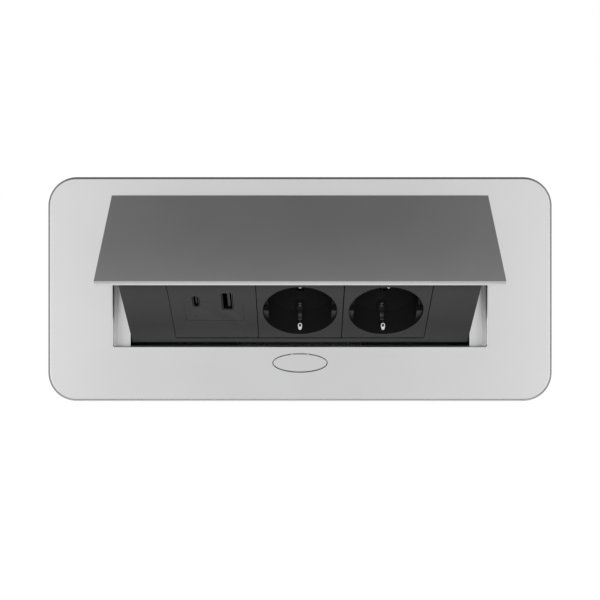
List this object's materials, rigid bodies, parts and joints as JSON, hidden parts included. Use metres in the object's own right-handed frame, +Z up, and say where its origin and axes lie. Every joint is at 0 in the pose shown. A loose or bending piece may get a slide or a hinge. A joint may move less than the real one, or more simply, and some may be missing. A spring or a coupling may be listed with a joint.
{
  "type": "in-desk power module",
  "caption": "Flush in-desk power module: a spring-up lid carries a box with earthed sockets and charging ports, with an oval push button and worktop clamps.",
  "frame": {"origin": "centre of the part's footprint, on the plane of the tub's bottom", "axes": "+X to the right along the lid, -Y to the front with the push button, +Z up through the lid"},
  "size_m": [0.268, 0.1194, 0.1195],
  "materials": {
    "satin_silver": "fine satin anodised",
    "black_plastic": "fine matt moulded",
    "coated_steel": "black powder coat",
    "bright_steel": "bright zinc plated",
    "brass": "plain",
    "grey_plastic": "smooth moulded",
    "circuit_board": "green solder mask",
    "rubber": "soft"
  },
  "bodies": {
    "root": {"frame": "satin_silver", "tub": "coated_steel", "tub_screw_1": "bright_steel", "tub_screw_2": "bright_steel", "tub_screw_3": "bright_steel", "tub_screw_4": "bright_steel", "hinge_bracket_left": "coated_steel", "hinge_bracket_right": "coated_steel", "bracket_screw_left": "bright_steel", "bracket_screw_right": "bright_steel", "hinge_pin_left": "bright_steel", "hinge_pin_right": "bright_steel", "lid_spring": "bright_steel", "button_housing": "black_plastic", "housing_screw_left": "bright_steel", "housing_screw_right": "bright_steel", "button_spring_left": "bright_steel", "button_spring_right": "bright_steel", "latch_guide": "black_plastic", "latch_spring": "bright_steel", "stop_buffer_left": "rubber", "stop_buffer_right": "rubber", "clamp_screw_left": "bright_steel", "clamp_screw_right": "bright_steel", "gland_body": "black_plastic", "gland_nut": "black_plastic"},
    "lid_unit": {"lid": "satin_silver", "lid_screw_1": "bright_steel", "lid_screw_2": "bright_steel", "lid_screw_3": "bright_steel", "lid_screw_4": "bright_steel", "bezel": "black_plastic", "rear_shell": "black_plastic", "schuko_insert_1": "black_plastic", "schuko_insert_2": "black_plastic", "earth_strap_1": "bright_steel", "earth_strap_2": "bright_steel", "centre_screw_1": "bright_steel", "centre_screw_2": "bright_steel", "contact_block": "grey_plastic", "live_rail": "brass", "neutral_rail": "brass", "usb_module": "black_plastic", "usb_a_shell": "bright_steel", "usb_c_shell": "bright_steel", "usb_a_tongue": "grey_plastic", "usb_c_tongue": "black_plastic", "usb_board": "circuit_board", "striker": "bright_steel", "arm_left": "coated_steel", "arm_right": "coated_steel", "arm_screw_left": "bright_steel", "arm_screw_right": "bright_steel", "damper": "black_plastic"},
    "button": {"push_button": "satin_silver", "push_rod": "grey_plastic"},
    "latch_bolt": {"latch_slider": "bright_steel"},
    "clamp_left": {"clamp_left": "coated_steel"},
    "clamp_right": {"clamp_right": "coated_steel"}
  },
  "joints": [
    {"name": "lid_hinge", "type": "hinge", "parent": "root", "child": "lid_unit", "pos_m": [0, 0.0474, 0.0518], "axis": [-1, 0, 0], "range_deg": [-40.1, 0], "stiffness_Nm_per_rad": 0.16, "springref_deg": 91.67, "deforming": ["lid_spring"]},
    {"name": "button_slide", "type": "slide", "parent": "root", "child": "button", "axis": [0, 0, -1], "range_m": [0, 0.0025], "stiffness_N_per_m": 400, "springref_m": -0.003, "deforming": ["button_spring_left", "button_spring_right"]},
    {"name": "latch_slide", "type": "slide", "parent": "root", "child": "latch_bolt", "axis": [0, -1, 0], "range_m": [0, 0.0025], "stiffness_N_per_m": 150, "springref_m": -0.003, "deforming": ["latch_spring"]},
    {"name": "clamp_left_slide", "type": "slide", "parent": "root", "child": "clamp_left", "axis": [0, 0, 1], "range_m": [-0.008, 0.01]},
    {"name": "clamp_right_slide", "type": "slide", "parent": "root", "child": "clamp_right", "axis": [0, 0, 1], "range_m": [-0.008, 0.01]}
  ],
  "couplings": [
    {"joint": "latch_slide", "follows": "button_slide", "ratio": 1}
  ]
}
